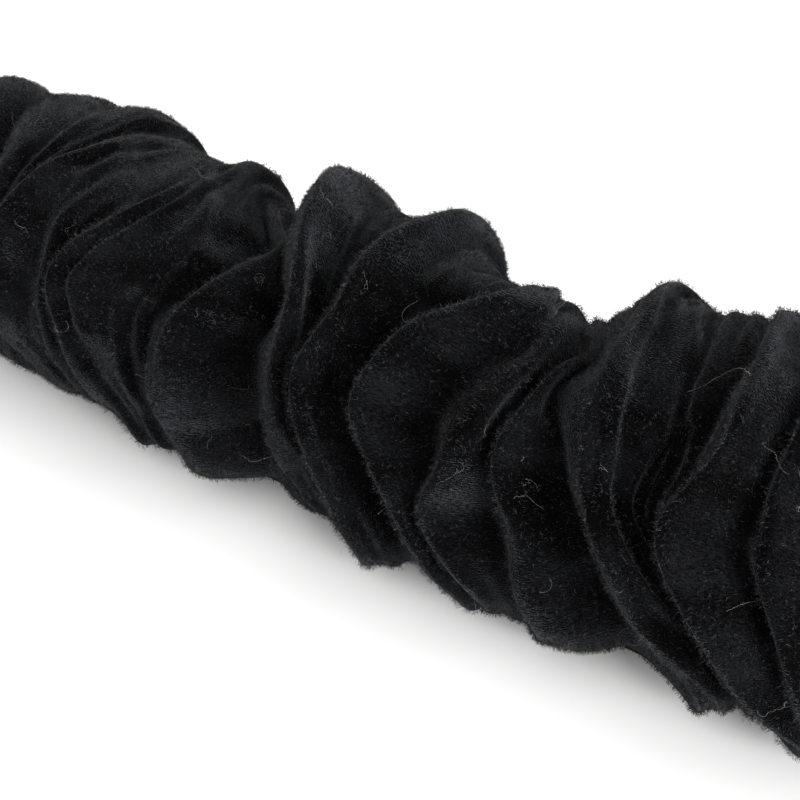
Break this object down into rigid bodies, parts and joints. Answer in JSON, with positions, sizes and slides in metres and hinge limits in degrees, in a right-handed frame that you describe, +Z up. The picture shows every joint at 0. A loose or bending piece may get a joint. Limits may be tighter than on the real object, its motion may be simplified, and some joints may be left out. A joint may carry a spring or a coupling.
{
  "type": "headband",
  "caption": "Soft headband with a gathered velvet sleeve at the front and a flat woven elastic back, lying flat as a closed loop.",
  "frame": {"origin": "middle of the band's underside, where the back elastic lies on a table", "axes": "+X along the band towards its right end, +Y across the band, +Z up from the table"},
  "size_m": [0.25, 0.05, 0.0468],
  "materials": {
    "velvet": "deep black stretch velvet pile",
    "elastic": "ribbed woven elastic",
    "thread": "spun polyester thread"
  },
  "bodies": {
    "left_end": {"velvet_sleeve": "velvet", "sleeve_seam_thread": "thread", "front_elastic": "elastic", "back_elastic": "elastic", "left_end_tab": "velvet", "left_end_stitches": "thread", "left_gather_thread": "thread"},
    "right_end": {"right_end_tab": "velvet", "right_end_stitches": "thread", "right_gather_thread": "thread"}
  },
  "joints": [
    {"name": "stretch", "type": "slide", "parent": "left_end", "child": "right_end", "axis": [1, 0, 0], "range_m": [0, 0.06], "stiffness_N_per_m": 70, "deforming": ["velvet_sleeve", "sleeve_seam_thread", "front_elastic", "back_elastic"]}
  ]
}
